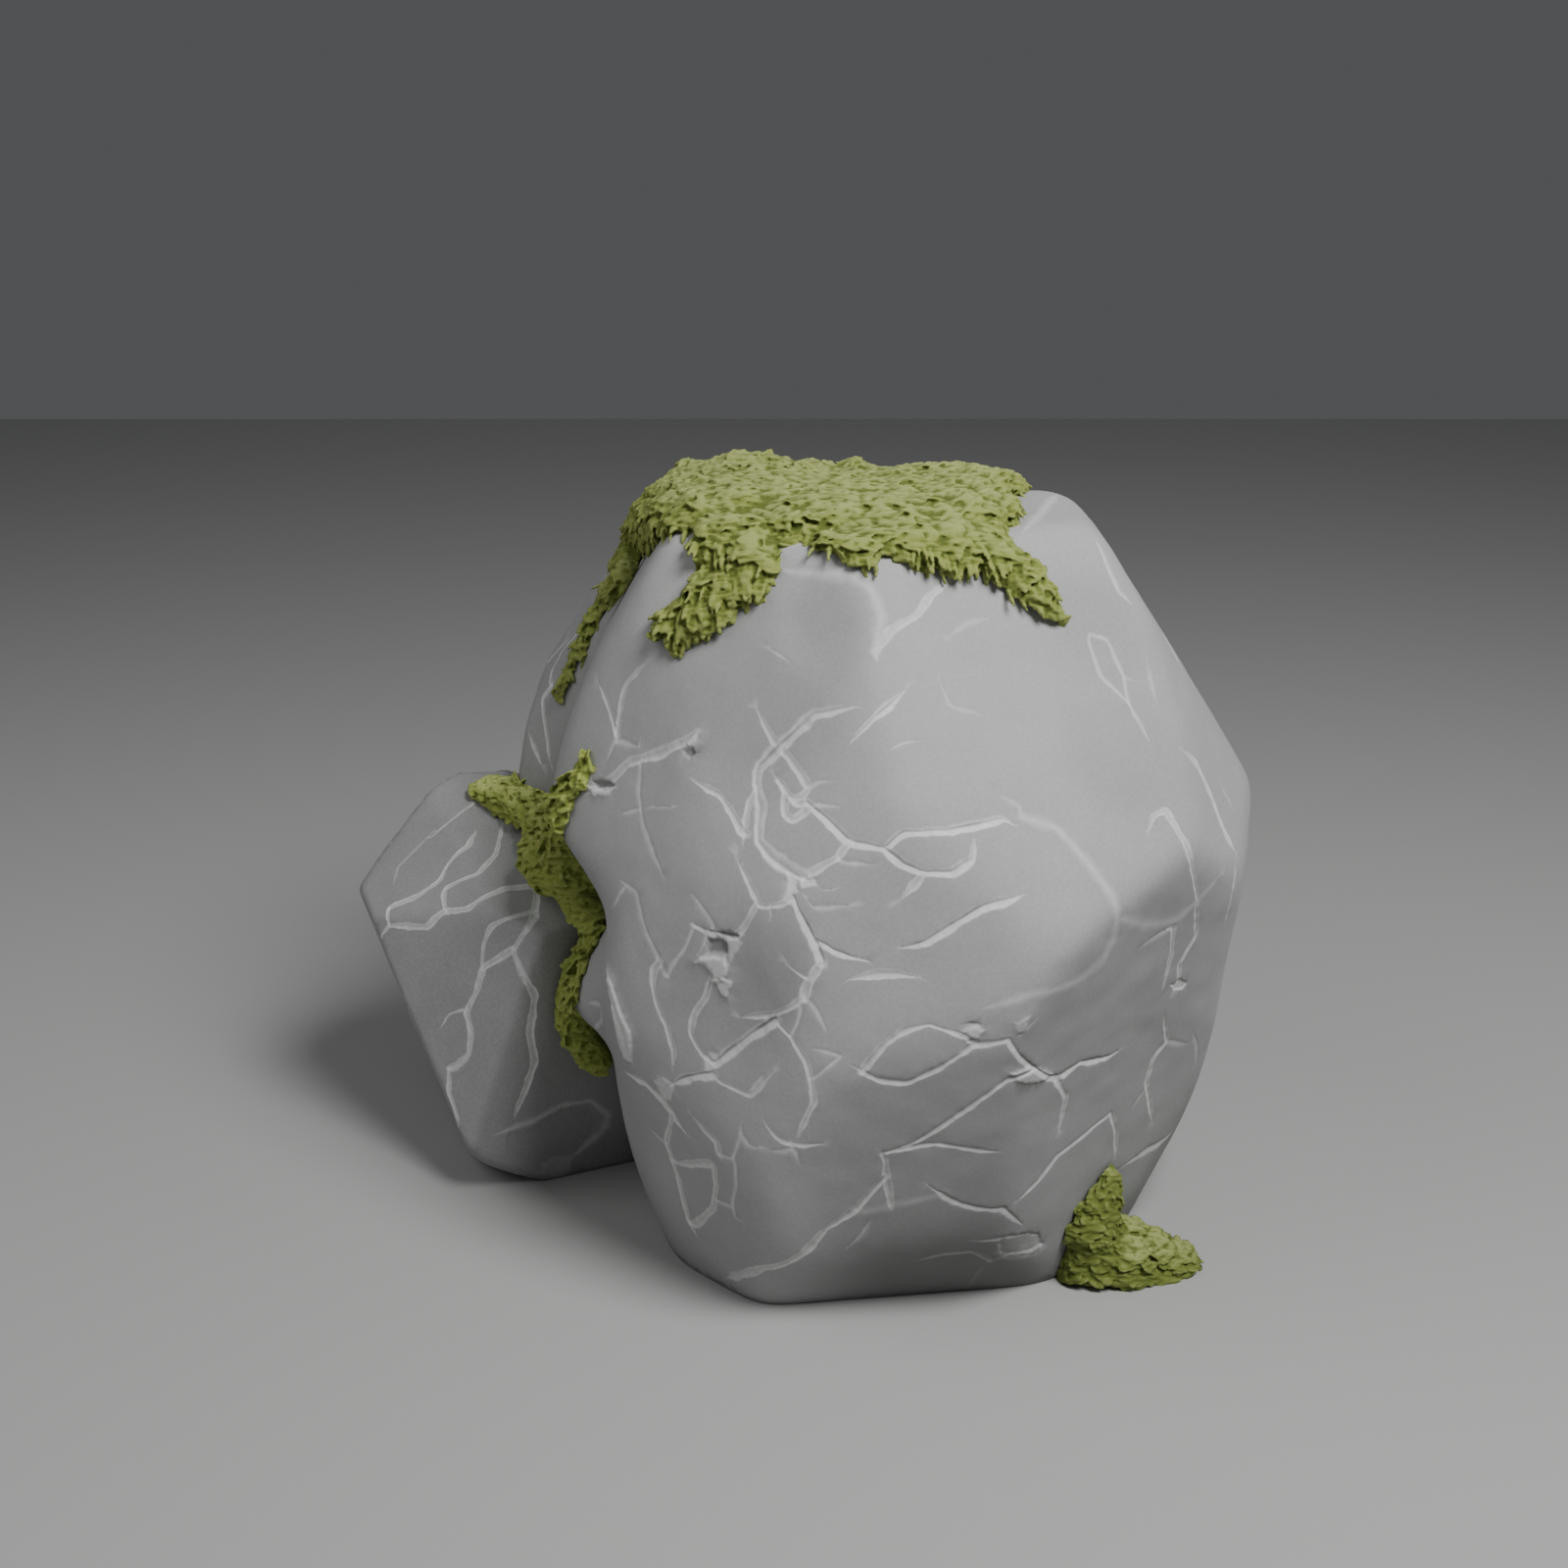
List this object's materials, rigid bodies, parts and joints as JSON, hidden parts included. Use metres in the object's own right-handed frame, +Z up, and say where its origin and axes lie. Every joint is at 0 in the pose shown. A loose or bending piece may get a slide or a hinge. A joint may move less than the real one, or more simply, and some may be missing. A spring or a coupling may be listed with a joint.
{
  "type": "mossy rock",
  "caption": "Rounded grey boulder with smaller stones leaning against it, a cap of green moss on top and moss in the seams and at its foot.",
  "frame": {"origin": "middle of the boulder's base, on the ground", "axes": "+Z up, -Y the side the picture shows, +X to that side's right, with the smaller stones at -X and +Y"},
  "size_m": [0.7706, 0.5993, 0.6332],
  "materials": {
    "grey_stone": "matt, worn smooth, with paler raised edges along its cracks",
    "moss": "soft matt green moss"
  },
  "bodies": {
    "root": {"boulder": "grey_stone", "side_stone": "grey_stone", "back_stone": "grey_stone", "moss_cap": "moss", "seam_moss": "moss", "foot_moss": "moss"}
  },
  "joints": []
}
